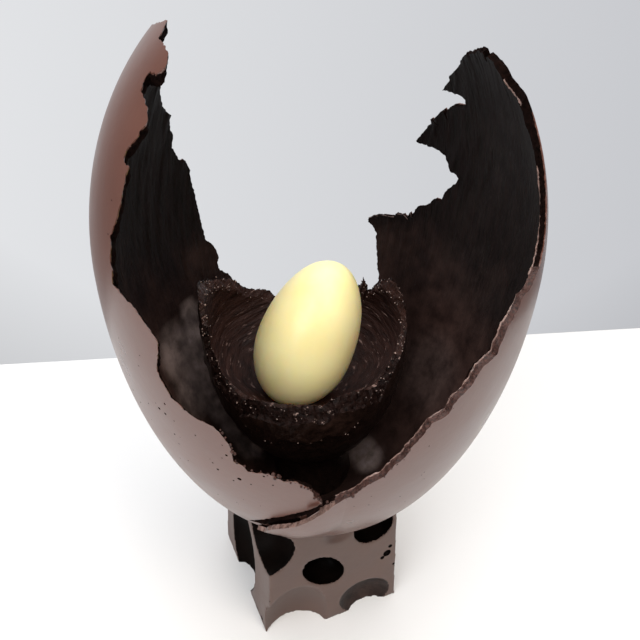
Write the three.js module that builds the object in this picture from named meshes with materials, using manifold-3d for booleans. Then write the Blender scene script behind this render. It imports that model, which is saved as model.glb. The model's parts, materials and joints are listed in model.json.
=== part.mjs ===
// A broken chocolate egg that stands, narrow end down, in the top of a scooped-out chocolate block.
// A smaller broken egg lies inside it as a bowl and holds a white chocolate egg.
// Millimetres, +Z up. The table is z = 0, the big egg's axis is x = y = 0 and the front faces -Y.
import * as THREE from 'three';
import { mergeVertices } from 'three/addons/utils/BufferGeometryUtils.js';
import { TessellateModifier } from 'three/addons/modifiers/TessellateModifier.js';
import Module from 'manifold-3d';

const wasm = await Module();
wasm.setup();

// ---- driving dimensions ----------------------------------------------------------------------

// An egg profile is two half-ellipses that meet at its widest plane.
const BIG_EGG = { halfWidth: 103, lower: 172, upper: 128 };
const BIG_WALL = 3.5;
const BIG_CENTRE_HEIGHT = 235;

// The wall was brushed on from the inside, so its thickness runs in long waves from pole to pole.
// Each wave train has a count round the axis, a sideways swing in degrees, a count of swings from
// pole to pole and a depth.
const BRUSH_TRAINS = [
  { waves: 7, swing: 40, swings: 2, depth: 0.27 },
  { waves: 16, swing: 65, swings: 3, depth: 0.33 },
];

const BOWL_EGG = { halfWidth: 56, lower: 85, upper: 110 };
const BOWL_HOLLOW = { halfWidth: 52.3, lower: 34, upper: 106 };
const BOWL_CENTRE = [-7, 16, -62];
const BOWL_LEAN = -3.1;
const FOOT_RADIUS = 21;
const FOOT_SPREAD = 5;
const FOOT_TOP = -66;
const FOOT_BOTTOM = -112;
const SKIRT_RISE = 2.2;
const HOLLOW_RIPPLE = { depth: 0.5, waves: 9 };

const WHITE_EGG = { halfWidth: 26.2, lower: 34.5, upper: 48 };
const WHITE_CENTRE = [-6.3, 4.5, -64.5];
const WHITE_AXIS = [0.347, 0.321, 0.881];

const BLOCK_SIDE = 84;
const BLOCK_TOP_SIDE = 77;
const BLOCK_HEIGHT = 88;
const BLOCK_CENTRE = [-3, -6.6];
const BLOCK_TURN = 24;
const BLOCK_EDGE = 1.2;
const BLOCK_CORNER = 2;

const LIP_RISE = 4.2;
const LIP_WALL = 2.2;
const GAP = 0.3;

// How far the cutters and fused patches reach past the surfaces they meet.
const REACH_OUT = 9;
const REACH_IN = 5;
const RIM_REACH_IN = 14;
const SUNK = 1.2;

// Each run of a random edge starts from its own seed.
const SEEDS = { opening: 7, rim: 11, skirt: 5 };

// Grid of each surface: faces round the axis, faces from pole to pole.
const BIG_GRID = [54, 37];
const BOWL_GRID = [30, 18];
const WHITE_GRID = [26, 18];
const SEAT_GRID = [36, 40];
const SCOOP_GRID = [14, 10];
const FOOT_FACES = 20;
const PATCH_EDGE = 12;
const PATCH_PASSES = 24;

// Broken edges: the longest straight bit of an edge and how far its corners stray.
const BIG_BREAK = { step: 8, stray: 0.9 };
const BOWL_BREAK = { step: 8, stray: 0.8 };

// The places on an egg are pairs: the azimuth in degrees, 0 at the front and 90 at +X, and the
// height in mm. On the big egg the height is taken from its lower tip.
const LEFT_FRONT_EDGE = [
  [2, 93], [0, 108], [-4, 115], [-9, 118], [-15, 118], [-19, 124], [-19, 132], [-23, 140],
  [-28, 141], [-34, 147], [-37, 158], [-35, 174], [-38, 179], [-42, 184], [-51, 187], [-50, 203],
  [-51, 208], [-48, 230], [-51, 235], [-47, 245], [-49, 253], [-57, 258], [-59, 262], [-56, 261],
  [-52, 265], [-57, 269], [-65, 270], [-70, 275],
];
const LEFT_BACK_EDGE = [
  [-93, 267], [-105, 253], [-106, 243], [-113, 234], [-119, 223], [-125, 212], [-125, 204],
  [-129, 189], [-132, 182], [-134, 162], [-136, 141], [-140, 120], [-146, 104],
];
const BACK_EDGE = [[-153, 89], [-165, 80], [-178, 76], [169, 79], [159, 89]];
const RIGHT_BACK_EDGE = [
  [155, 101], [157, 112], [157, 130], [162, 138], [151, 145], [143, 154], [135, 165], [130, 176],
  [131, 183], [138, 189], [147, 193], [141, 207], [135, 215], [127, 221], [127, 225], [136, 228],
  [126, 243], [114, 253], [107, 257], [103, 254], [97, 254], [92, 248],
];
const RIGHT_FRONT_EDGE = [
  [87, 243], [78, 240], [72, 234], [67, 229], [65, 221], [59, 206], [55, 196], [50, 190], [46, 184],
  [43, 177], [40, 170], [36, 163], [31, 154], [29, 148], [25, 144], [22, 134], [18, 122], [13, 112],
  [10, 106], [9, 99], [6, 95],
];
const BIG_OPENING = [
  ...LEFT_FRONT_EDGE, ...LEFT_BACK_EDGE, ...BACK_EDGE, ...RIGHT_BACK_EDGE, ...RIGHT_FRONT_EDGE,
];

// The crack runs from the foot of the opening to the lower left, and the shell under it stands out.
const CRACK = [
  [2.5, 99], [-2, 88], [-6, 82], [-13, 73], [-18, 63], [-25, 53], [-17, 57], [-14, 66], [-11, 71],
  [-8, 74], [-5, 77], [-2, 81], [2, 89], [6, 97],
];
const LIP_PATCH = [
  [12, 100], [6, 101], [2, 94], [-3, 84], [-9, 75.5], [-15, 66], [-20, 56], [-19, 44], [-10, 38],
  [2, 36], [12, 42], [18, 56], [19, 78],
];
const LIP_FULL_AZIMUTH = -6;
const LIP_END_AZIMUTH = 16;
const LIP_LOW_HEIGHT = 40;
const LIP_HIGH_HEIGHT = 62;

// The bowl's rim: azimuth and height above the widest plane of the bowl's own egg.
const BOWL_RIM = [
  [-85, 33], [-75, 30], [-66, 22], [-64, 9], [-57, 5], [-55, -6], [-46, -12], [-37, -15], [-24, -11],
  [-16, -13], [-4, -12], [5, -10], [12, -13], [18, -7], [35, -9], [46, -14], [58, -3], [77, 5],
  [91, 8], [101, 14], [110, 16], [119, 16], [126, 11], [135, 2], [139, -3], [141, 7], [145, 0],
  [164, -8], [-176, -12], [-160, -13], [-155, -6], [-147, -2], [-139, 2], [-128, 14], [-118, 19],
  [-104, 25], [-93, 31],
];
const SKIRT = [
  [-40, -12], [-20, -8], [0, -6], [20, -2], [38, -3], [34, -20], [22, -31], [12, -28], [2, -34],
  [-10, -30], [-20, -36], [-32, -29],
];

// Scoops in the block. x runs along the front face and y towards the back, both from the block's
// middle, then the height and the half sizes along those three ways. The tilt in degrees tips a
// scoop down to the right.
const SCOOPS = [
  { x: -6.8, y: -32.3, height: 45.8, half: [18.5, 13.5, 11.6], tilt: 47 },
  { x: -42, y: -27.5, height: 73.5, half: [21, 20, 18.6], tilt: -15 },
  { x: 24.2, y: -30.6, height: 69, half: [14.6, 15, 14.4] },
  { x: 2.5, y: -51.5, height: 76, half: [17, 15.5, 15] },
  { x: -25.3, y: -46, height: 11, half: [21.3, 18, 31] },
  { x: 19.1, y: -43, height: 4, half: [23.4, 11.2, 13.2], tilt: 54 },
  { x: -42, y: 6.5, height: 30, half: [13, 21.5, 35] },
  { x: 48, y: -8, height: 22, half: [19, 19, 19] },
  { x: 46, y: 12, height: 58, half: [20, 20, 20] },
  { x: -8, y: 46, height: 34, half: [18, 16, 18] },
  { x: 20, y: 48, height: 12, half: [18, 17, 18] },
  { x: 14, y: 46, height: 64, half: [16, 16, 16] },
];

// ---- colours and finishes --------------------------------------------------------------------

function chocolate(colour, roughness) {
  return new THREE.MeshStandardMaterial({ color: colour, roughness, metalness: 0 });
}

const SHELL_CHOCOLATE = chocolate(0x3a2520, 0.42);
const BOWL_CHOCOLATE = chocolate(0x2a1916, 0.35);
const BLOCK_CHOCOLATE = chocolate(0x47332e, 0.5);
const WHITE_CHOCOLATE = chocolate(0xf3e6a8, 0.38);

// ---- numbers ---------------------------------------------------------------------------------

const radians = THREE.MathUtils.degToRad;
const degrees = THREE.MathUtils.radToDeg;

// A repeatable stream of numbers between -1 and 1.
function seededNoise(seed) {
  let state = seed;
  return () => {
    state = (Math.imul(state, 1664525) + 1013904223) >>> 0;
    return (state / 2 ** 31) - 1;
  };
}

// ---- points on an egg ------------------------------------------------------------------------

// The turn runs from 0 at an egg's upper tip, over 90 at its widest plane, to 180 at its lower tip.
function turnAtHeight(egg, height) {
  return degrees(Math.acos(height / (height > 0 ? egg.upper : egg.lower)));
}

// A point that lies off the egg's surface by the given distance along the surface normal.
function eggPoint(egg, azimuth, turn, offset) {
  const halfHeight = turn < 90 ? egg.upper : egg.lower;
  const outwards = Math.sin(radians(turn));
  const upwards = Math.cos(radians(turn));
  const normal = new THREE.Vector2(outwards / egg.halfWidth, upwards / halfHeight).normalize();
  const radius = egg.halfWidth * outwards + offset * normal.x;
  const height = halfHeight * upwards + offset * normal.y;
  return new THREE.Vector3(
    radius * Math.sin(radians(azimuth)),
    -radius * Math.cos(radians(azimuth)),
    height,
  );
}

// ---- closed solids ---------------------------------------------------------------------------

// Merge the shared corners of a closed geometry and hand it to the boolean library.
function solid(geometry, matrix = new THREE.Matrix4()) {
  const bare = geometry.clone().applyMatrix4(matrix);
  bare.deleteAttribute('normal');
  bare.deleteAttribute('uv');
  const merged = mergeVertices(bare);
  const corners = merged.index.array;
  const triangles = [];
  for (let i = 0; i < corners.length; i += 3) {
    const [a, b, c] = corners.slice(i, i + 3);
    if (a !== b && b !== c && c !== a) triangles.push(a, b, c);
  }
  return new wasm.Manifold(new wasm.Mesh({
    numProp: 3,
    vertProperties: merged.attributes.position.array,
    triVerts: new Uint32Array(triangles),
  }));
}

function geometryOf(manifold) {
  const mesh = manifold.getMesh();
  const geometry = new THREE.BufferGeometry();
  geometry.setAttribute('position', new THREE.BufferAttribute(mesh.vertProperties, 3));
  geometry.setIndex(new THREE.BufferAttribute(mesh.triVerts, 1));
  geometry.computeVertexNormals();
  return geometry;
}

// The whole surface of an egg, moved along its normal by offset(azimuth, turn).
function eggGeometry(egg, [around, down], offset) {
  const geometry = new THREE.SphereGeometry(1, around, down);
  const { position, uv } = geometry.attributes;
  for (let i = 0; i < position.count; i += 1) {
    const azimuth = 360 * uv.getX(i);
    const turn = 180 * (1 - uv.getY(i));
    const pole = turn < 0.01 || turn > 179.99;
    const place = eggPoint(egg, pole ? 0 : azimuth, turn, offset(pole ? 0 : azimuth, turn));
    position.setXYZ(i, place.x, place.y, place.z);
  }
  return geometry;
}

// Lay an outline on the map of an egg seen from above, where the turn is the distance from the pole.
function mapPlace([azimuth, height], egg, datum) {
  const turn = turnAtHeight(egg, height - datum);
  return new THREE.Vector2(turn * Math.sin(radians(azimuth)), -turn * Math.cos(radians(azimuth)));
}

// A thick patch of an egg's skin inside an outline, between two offsets from the surface.
function skinPatch(egg, datum, outline, offset) {
  const shape = new THREE.Shape(outline.map((place) => mapPlace(place, egg, datum)));
  const flat = new THREE.ExtrudeGeometry(shape, { depth: 1, bevelEnabled: false });
  const patch = new TessellateModifier(PATCH_EDGE, PATCH_PASSES).modify(flat);
  const { position } = patch.attributes;
  for (let i = 0; i < position.count; i += 1) {
    const turn = Math.hypot(position.getX(i), position.getY(i));
    const azimuth = degrees(Math.atan2(position.getX(i), -position.getY(i)));
    const place = eggPoint(egg, azimuth, turn, offset(azimuth, turn, position.getZ(i)));
    position.setXYZ(i, place.x, place.y, place.z);
  }
  return patch;
}

// Break an outline into short straight bits whose ends stray to either side.
function ragged(outline, { step, stray }, radiusAt, seed) {
  const noise = seededNoise(seed);
  return outline.flatMap((start, index) => {
    const end = outline[(index + 1) % outline.length];
    const sweep = ((end[0] - start[0] + 540) % 360) - 180;
    const along = new THREE.Vector2(radians(sweep) * radiusAt(start[1]), end[1] - start[1]);
    const bits = Math.max(1, Math.round(along.length() / step));
    const across = new THREE.Vector2(-along.y, along.x).normalize();
    return Array.from({ length: bits }, (_, bit) => {
      const shift = bit === 0 ? 0 : stray * noise();
      return [
        start[0] + (sweep * bit) / bits + degrees((across.x * shift) / radiusAt(start[1])),
        start[1] + (along.y * bit) / bits + across.y * shift,
      ];
    });
  });
}

// ---- the big shell ---------------------------------------------------------------------------

function bigRadiusAt(height) {
  return eggPoint(BIG_EGG, 90, turnAtHeight(BIG_EGG, height - BIG_EGG.lower), 0).x;
}

function brushedWall(azimuth, turn) {
  const wave = BRUSH_TRAINS.reduce((sum, { waves, swing, swings, depth }) => {
    return sum + depth * Math.sin(radians(waves * azimuth + swing * Math.sin(radians(swings * turn))));
  }, 0);
  return wave * Math.sin(radians(turn)) - BIG_WALL;
}

// The lip is a thin flap that stands out most at its left end and joins the shell to the right and
// below.
function lipOffset(azimuth, turn, share) {
  const height = eggPoint(BIG_EGG, azimuth, turn, 0).z + BIG_EGG.lower;
  const rightwards = THREE.MathUtils.smoothstep(-azimuth, -LIP_END_AZIMUTH, -LIP_FULL_AZIMUTH);
  const upwards = THREE.MathUtils.smoothstep(height, LIP_LOW_HEIGHT, LIP_HIGH_HEIGHT);
  const rise = THREE.MathUtils.lerp(-SUNK, LIP_RISE, rightwards * upwards);
  return share > 0.5 ? rise : Math.max(-BIG_WALL / 2, rise - LIP_WALL);
}

function throughWall(azimuth, turn, share) {
  return share > 0.5 ? REACH_OUT : -BIG_WALL - REACH_IN;
}

function bigShell() {
  const outside = solid(eggGeometry(BIG_EGG, BIG_GRID, () => 0));
  const lip = solid(skinPatch(BIG_EGG, BIG_EGG.lower, LIP_PATCH, lipOffset));
  const inside = solid(eggGeometry(BIG_EGG, BIG_GRID, brushedWall));
  const brokenOut = ragged(BIG_OPENING, BIG_BREAK, bigRadiusAt, SEEDS.opening);
  const opening = solid(skinPatch(BIG_EGG, BIG_EGG.lower, brokenOut, throughWall));
  const crack = solid(skinPatch(BIG_EGG, BIG_EGG.lower, CRACK, throughWall));
  return outside.add(lip).subtract(inside).subtract(opening).subtract(crack);
}

// ---- the inner bowl --------------------------------------------------------------------------

function bowlRadiusAt(height) {
  return eggPoint(BOWL_EGG, 90, turnAtHeight(BOWL_EGG, height), 0).x;
}

// The lump of set chocolate that joins the bowl to the inside of the big shell.
function bowlFoot() {
  const profile = [
    [0, FOOT_BOTTOM],
    [FOOT_RADIUS + FOOT_SPREAD, FOOT_BOTTOM],
    [FOOT_RADIUS, (FOOT_TOP + FOOT_BOTTOM) / 2],
    [FOOT_RADIUS + FOOT_SPREAD, FOOT_TOP],
    [0, FOOT_TOP],
  ].map(([radius, height]) => new THREE.Vector2(radius, height));
  return new THREE.LatheGeometry(profile, FOOT_FACES).rotateX(Math.PI / 2);
}

function skirtOffset(azimuth, turn, share) {
  return share > 0.5 ? SKIRT_RISE : -SUNK;
}

function aboveRim(azimuth, turn, share) {
  return share > 0.5 ? REACH_OUT : -RIM_REACH_IN;
}

function rippledHollow(azimuth, turn) {
  const { depth, waves } = HOLLOW_RIPPLE;
  return depth * Math.sin(radians(turn)) * Math.sin(radians(waves * azimuth));
}

// The bowl's foot ends a gap short of the inside of the big shell.
function clearOfShell(azimuth, turn) {
  return brushedWall(azimuth, turn) - GAP;
}

function innerBowl(bowlPlace, whitePlace) {
  const toBowl = bowlPlace.clone().invert();
  const whiteInBowl = toBowl.clone().multiply(whitePlace);
  const skirtOutline = ragged(SKIRT, BOWL_BREAK, bowlRadiusAt, SEEDS.skirt);
  const rimOutline = ragged(BOWL_RIM, BOWL_BREAK, bowlRadiusAt, SEEDS.rim);
  const outside = solid(eggGeometry(BOWL_EGG, BOWL_GRID, () => 0));
  const skirt = solid(skinPatch(BOWL_EGG, 0, skirtOutline, skirtOffset));
  const hollow = solid(eggGeometry(BOWL_HOLLOW, BOWL_GRID, rippledHollow));
  const brokenOff = solid(skinPatch(BOWL_EGG, 0, rimOutline, aboveRim));
  const socket = solid(eggGeometry(WHITE_EGG, WHITE_GRID, () => GAP), whiteInBowl);
  const shellHollow = solid(eggGeometry(BIG_EGG, BIG_GRID, clearOfShell), toBowl);
  return outside.add(skirt).add(solid(bowlFoot()))
    .subtract(hollow).subtract(brokenOff).subtract(socket).intersect(shellHollow);
}

// ---- the block -------------------------------------------------------------------------------

function squareWithRoundCorners(side, radius) {
  const shape = new THREE.Shape();
  const inner = side / 2 - radius;
  shape.absarc(inner, inner, radius, 0, Math.PI / 2);
  shape.absarc(-inner, inner, radius, Math.PI / 2, Math.PI);
  shape.absarc(-inner, -inner, radius, Math.PI, 1.5 * Math.PI);
  shape.absarc(inner, -inner, radius, 1.5 * Math.PI, 2 * Math.PI);
  return shape;
}

// The cast block narrows a little towards its top, so that it slips out of its mould.
function plainBlock() {
  const outline = squareWithRoundCorners(BLOCK_SIDE - 2 * BLOCK_EDGE, BLOCK_CORNER);
  const block = new THREE.ExtrudeGeometry(outline, {
    depth: BLOCK_HEIGHT - 2 * BLOCK_EDGE,
    bevelThickness: BLOCK_EDGE,
    bevelSize: BLOCK_EDGE,
    bevelSegments: 1,
    curveSegments: 2,
  }).translate(0, 0, BLOCK_EDGE);
  const { position } = block.attributes;
  for (let i = 0; i < position.count; i += 1) {
    const share = position.getZ(i) / BLOCK_HEIGHT;
    const narrowing = THREE.MathUtils.lerp(1, BLOCK_TOP_SIDE / BLOCK_SIDE, share);
    position.setXY(i, position.getX(i) * narrowing, position.getY(i) * narrowing);
  }
  return block;
}

function scoop({ x, y, height, half, tilt = 0 }) {
  return new THREE.SphereGeometry(1, ...SCOOP_GRID)
    .scale(...half)
    .rotateY(radians(tilt))
    .translate(x, y, height);
}

function blockWithScoops(blockPlace, eggPlace) {
  const toBlock = blockPlace.clone().invert().multiply(eggPlace);
  const seat = solid(eggGeometry(BIG_EGG, SEAT_GRID, () => GAP), toBlock);
  const scooped = SCOOPS.reduce((block, place) => block.subtract(solid(scoop(place))), solid(plainBlock()));
  return scooped.subtract(seat);
}

// ---- the scene graph -------------------------------------------------------------------------

function namedMesh(name, geometry, material) {
  const mesh = new THREE.Mesh(geometry, material);
  mesh.name = name;
  return mesh;
}

const whiteEgg = namedMesh('white_egg', eggGeometry(WHITE_EGG, WHITE_GRID, () => 0), WHITE_CHOCOLATE);
whiteEgg.position.set(...WHITE_CENTRE);
whiteEgg.quaternion.setFromUnitVectors(
  new THREE.Vector3(0, 0, 1),
  new THREE.Vector3(...WHITE_AXIS).normalize(),
);
whiteEgg.updateMatrix();

const bowlFrame = new THREE.Object3D();
bowlFrame.position.set(...BOWL_CENTRE);
bowlFrame.rotation.y = radians(BOWL_LEAN);
bowlFrame.updateMatrix();

const bowlSolid = innerBowl(bowlFrame.matrix, whiteEgg.matrix);
const bowl = namedMesh('inner_bowl', geometryOf(bowlSolid), BOWL_CHOCOLATE);
bowl.position.copy(bowlFrame.position);
bowl.rotation.copy(bowlFrame.rotation);

const shell = namedMesh('outer_shell', geometryOf(bigShell()), SHELL_CHOCOLATE);

const egg = new THREE.Group();
egg.position.z = BIG_CENTRE_HEIGHT;
egg.add(shell, bowl, whiteEgg);
egg.updateMatrix();

const stand = new THREE.Group();
stand.position.set(...BLOCK_CENTRE, 0);
stand.rotation.z = radians(BLOCK_TURN);
stand.updateMatrix();
const blockSolid = blockWithScoops(stand.matrix, egg.matrix);
stand.add(namedMesh('base_block', geometryOf(blockSolid), BLOCK_CHOCOLATE));

const showpiece = new THREE.Group();
showpiece.add(egg, stand);

export default showpiece;
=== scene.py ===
"""A broken chocolate egg on a scooped block, with a smaller broken egg inside it as a bowl.

Sizes are in millimetres, heights count from the table, and every mesh is scaled to metres last.
"""

import json
import math
import random
from collections import namedtuple

import bmesh
import bpy
from mathutils import Matrix, Vector, noise

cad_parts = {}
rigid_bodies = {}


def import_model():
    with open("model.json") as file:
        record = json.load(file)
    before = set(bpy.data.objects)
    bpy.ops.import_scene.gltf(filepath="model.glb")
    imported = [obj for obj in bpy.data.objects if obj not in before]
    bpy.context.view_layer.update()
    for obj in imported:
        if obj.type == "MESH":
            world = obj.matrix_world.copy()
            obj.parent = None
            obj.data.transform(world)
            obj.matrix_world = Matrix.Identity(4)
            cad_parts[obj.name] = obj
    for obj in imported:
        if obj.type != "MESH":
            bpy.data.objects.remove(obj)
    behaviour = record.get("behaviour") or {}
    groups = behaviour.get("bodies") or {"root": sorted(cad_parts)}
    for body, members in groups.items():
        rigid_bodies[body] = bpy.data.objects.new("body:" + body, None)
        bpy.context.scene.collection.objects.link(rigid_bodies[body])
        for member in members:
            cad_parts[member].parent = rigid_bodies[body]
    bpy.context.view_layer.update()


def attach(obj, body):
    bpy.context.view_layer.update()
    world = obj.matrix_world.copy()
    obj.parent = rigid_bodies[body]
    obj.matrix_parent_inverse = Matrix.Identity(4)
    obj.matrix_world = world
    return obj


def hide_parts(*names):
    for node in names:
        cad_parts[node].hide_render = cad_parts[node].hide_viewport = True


for spare in list(bpy.data.objects):
    bpy.data.objects.remove(spare)

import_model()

# The rough walls take their pattern from this seed, so they come out the same in every run.
noise.seed_set(7)

# ---- sizes -----------------------------------------------------------------------------------

MM = 0.001

# An egg profile is two half-ellipses that meet at its widest plane.
Egg = namedtuple("Egg", "half_width lower upper")

BIG_EGG = Egg(103, 172, 128)
BIG_WALL = 3.5
BIG_CENTRE = Vector((0, 0, 235))

BOWL_EGG = Egg(56, 85, 110)
BOWL_HOLLOW = Egg(52.3, 34, 106)
BOWL_PLACE = Matrix.Translation((-7, 16, 173)) @ Matrix.Rotation(math.radians(-3.1), 4, "Y")
FOOT_RADIUS = 21
FOOT_SPREAD = 5
FOOT_TOP = -66
FOOT_BOTTOM = -112
FOOT_STEPS = 96

WHITE_EGG = Egg(26.2, 34.5, 48)
WHITE_CENTRE = Vector((-6.3, 4.5, 170.5))
WHITE_AXIS = Vector((0.347, 0.321, 0.881))

BLOCK_SIDE = 84
BLOCK_TOP_SIDE = 77
BLOCK_HEIGHT = 88
BLOCK_CENTRE = Vector((-3, -6.6, 0))
BLOCK_TURN = 24

LIP_RISE = 4.2
LIP_WALL = 2.2
GAP = 0.3

# The big shell's broken edges, as azimuth in degrees (0 front, 90 right) and height in mm above
# the shell's lower tip.
LEFT_FRONT_EDGE = [
    (2.6, 94), (0.9, 100), (-0.2, 106), (-1.8, 109.5), (-4.1, 113), (-7, 112.5), (-9, 115),
    (-11, 116), (-14, 115.7), (-16, 115), (-17, 118), (-19.3, 120), (-19.3, 130), (-21, 136),
    (-23, 140),
    (-28, 141), (-34, 147), (-37, 158), (-35, 174), (-38, 179), (-42, 184), (-50.9, 187.2),
    (-50.6, 193.1), (-51.8, 195.5), (-51.2, 202.6), (-51.9, 205.7), (-50.4, 211.3), (-49.5, 215.6),
    (-48.9, 219.7), (-48.7, 225.1), (-48.9, 229.2), (-48.3, 233.3), (-50.9, 233.8), (-51.5, 235.2),
    (-51.4, 237.6), (-49.9, 239.9), (-48.6, 243.3), (-48, 245.8), (-46.4, 248.3), (-46.7, 249.7),
    (-49.2, 252.9), (-52.5, 254.4), (-55.1, 255.8), (-56.1, 258.1), (-56.2, 260.6), (-55.5, 261.7),
    (-52, 262), (-49.9, 263.5), (-48.9, 264.6), (-50.2, 266.4), (-51.7, 268.1), (-55, 269.5),
    (-58.3, 270), (-63.5, 270.1), (-63.9, 271.9), (-67.8, 275),
]
LEFT_BACK_EDGE = [
    (-93, 267), (-104, 258),
    (-110.5, 244), (-113.3, 241), (-114.6, 237), (-118.2, 232.9), (-118.4, 229.7),
    (-120.1, 225.3), (-121.6, 220.8), (-124.3, 216.3), (-125.7, 214.6), (-125, 212.1),
    (-125.7, 207.2), (-127.1, 202.6), (-126.8, 195.2), (-128.4, 190.3), (-130.3, 185.1),
    (-132.3, 184.7), (-133.6, 178.6), (-133.7, 172.5), (-134.5, 166), (-134.8, 159.7),
    (-135.4, 151.3), (-135.9, 143.5), (-136.2, 138.3), (-136.5, 133.6), (-138.7, 129.9),
    (-139.9, 125.4), (-140.5, 119.9), (-139.4, 117.9), (-140, 112.4), (-143, 108.3),
    (-145, 103.4),
]
BACK_EDGE = [(-153, 89), (-165, 80), (-178, 76), (169, 79), (159, 89)]
RIGHT_BACK_EDGE = [
    (155, 101), (157, 112),
    (158.5, 126), (158.8, 130.5), (160.3, 134.6), (162.3, 136.5), (162.4, 138.4), (161, 140.1),
    (157, 142.7), (152.9, 143), (152.3, 145.2), (149.6, 145.7), (147.9, 143.9), (147.5, 148),
    (146.1, 145.5), (145.7, 149.5), (145.5, 151.5), (144.5, 153.3), (141.5, 155.4),
    (140.2, 158.1), (138.9, 161.3), (137.7, 161.3), (136.1, 161.1), (135.3, 165.8),
    (134.1, 170.2), (131.7, 174.7), (130.4, 179.1), (131.3, 180.4), (133.8, 181.4),
    (134.8, 185), (136.1, 188.5), (138.5, 190.9), (141.5, 191.9), (146, 191.7), (147.5, 193),
    (145.4, 198.1), (143.9, 202.3), (142.1, 204.9), (142.5, 207.7), (139.1, 205.6),
    (140.9, 208.9), (138.6, 214), (137.4, 215), (135.5, 210.1), (135.8, 215.7), (134, 218.8),
    (129.4, 220.8), (127.5, 223.3), (127.2, 226.2), (129.7, 226.8), (133, 227.6),
    (136.7, 227.3), (134.1, 232.1), (132.8, 236.4), (129.4, 240.8), (126.6, 245.5),
    (124, 249.4), (119, 252.5), (113.5, 255.5), (110.8, 255.8), (110.6, 251.6), (109.4, 251.6),
    (109.5, 254.2), (107.7, 254.6), (103.2, 253.1), (100.5, 250.7), (99.4, 246.9), (94.2, 245.7),
]
RIGHT_FRONT_EDGE = [
    (86.5, 244.9), (84, 240), (80, 233), (77, 227), (74.5, 220), (71, 212), (69, 205), (66.5, 197),
    (65, 193.5), (62, 189), (59, 187), (56, 184), (52, 184.5), (51, 181), (49, 177.5), (47, 175),
    (46, 171), (45, 167.5), (44.5, 163.5), (41.5, 162), (39.5, 160.5), (38.5, 158), (37.5, 154.5),
    (36, 152), (33.5, 149.5), (32.5, 146), (32, 143), (30, 141.5), (27.5, 141), (26.5, 137.5),
    (25.5, 134), (24, 130.5), (23, 126.5), (22, 122.5), (20, 119.5), (18.5, 114.5), (17.5, 111.5),
    (15, 109.5), (13, 106), (11.5, 102), (10, 99.5), (6, 96),
]
BIG_OPENING = LEFT_FRONT_EDGE + LEFT_BACK_EDGE + BACK_EDGE + RIGHT_BACK_EDGE + RIGHT_FRONT_EDGE

# The crack under the notch: its upper side, then its lower side back to the notch.
CRACK_UPPER = [(2.6, 95), (0.5, 90), (-2, 87), (-6, 81.5), (-11, 75), (-16, 67.5), (-25, 53)]
CRACK_LOWER = [
    (-17, 57), (-14, 66), (-11, 71), (-8, 74.5), (-5, 77.5), (-2, 81.5), (1, 86.5), (4, 91.5),
    (7, 97.5),
]

# The bowl's rim and the drips below it, with heights above the widest plane of the bowl's egg.
BOWL_RIM = [
    (-85, 33), (-75, 30), (-66, 22), (-64, 9), (-57, 5), (-55, -6), (-46, -12), (-37, -15),
    (-24, -11), (-16, -13), (-4, -12), (5, -10), (12, -13), (18, -7), (35, -9), (46, -14),
    (58, -3), (77, 5), (91, 8), (101, 14), (110, 16), (119, 16), (126, 11), (135, 2), (139, -3),
    (141, 7), (145, 0), (164, -8), (-176, -12), (-160, -13), (-155, -6), (-147, -2), (-139, 2),
    (-128, 14), (-118, 19), (-104, 25), (-93, 31),
]
SKIRT = [
    (-40, -12), (-20, -8), (0, -6), (20, -2), (38, -3), (34, -20), (22, -31), (12, -28),
    (2, -34), (-10, -30), (-20, -36), (-32, -29),
]

# Scoops in the block: the middle of each, its half sizes along the block's sides, and the tilt in
# degrees that tips it down to the right.
SCOOPS = [
    ((-6.8, -32.3, 45.8), (18.5, 13.5, 11.6), 47),
    ((-42, -27.5, 73.5), (21, 20, 18.6), -15),
    ((24.2, -30.6, 69), (14.6, 15, 14.4), 0),
    ((2.5, -51.5, 76), (17, 15.5, 15), 0),
    ((-25.3, -46, 11), (21.3, 18, 31), 0),
    ((20.5, -47.4, 10.5), (19, 13, 15.5), 15),
    ((-42, 6.5, 30), (13, 21.5, 35), 0),
    ((48, -8, 22), (19, 19, 19), 0),
    ((46, 12, 58), (20, 20, 20), 0),
    ((-8, 46, 34), (18, 16, 18), 0),
    ((20, 48, 12), (18, 17, 18), 0),
    ((14, 46, 64), (16, 16, 16), 0),
]

# Small pits in the block: the middle and the radius of each.
BLOCK_PITS = [
    ((34.2, -40.2, 42.4), 2.7), ((31.2, -40.3, 39.6), 1.5), ((36, -40.2, 47.8), 1.4),
    ((-26, -38.9, 78), 1.2), ((-26.7, -39, 74), 1), ((-31.5, -39.2, 70), 0.9),
    ((-41, -40.5, 36.5), 1.1), ((-41.4, -38, 4.5), 1.8), ((-41.8, -28.5, 4.5), 1.5),
    ((-42, -20, 2), 1.3), ((39.5, -40.6, 30), 1), ((-40.5, -40, 60), 0.9),
]

# Corners closer than this are one corner.
WELD = 0.0005

# Passes that split the long edges of a cutter before it is bent round an egg.
SPLIT_PASSES = 8

# Edges steeper than this, in degrees, stay crisp.
CREASE = 50
NO_CREASE = 180

# ---- points on an egg ------------------------------------------------------------------------


def smooth_ramp(value, start, end):
    share = min(max((value - start) / (end - start), 0), 1)
    return share * share * (3 - 2 * share)


def between(value, start, full_from, full_to, end):
    """1 between two values, with a soft ramp on either side."""
    return smooth_ramp(value, start, full_from) * (1 - smooth_ramp(value, full_to, end))


def turn_at_height(egg, height):
    """The turn runs from 0 at an egg's upper tip to 180 at its lower tip."""
    return math.degrees(math.acos(height / (egg.upper if height > 0 else egg.lower)))


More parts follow.
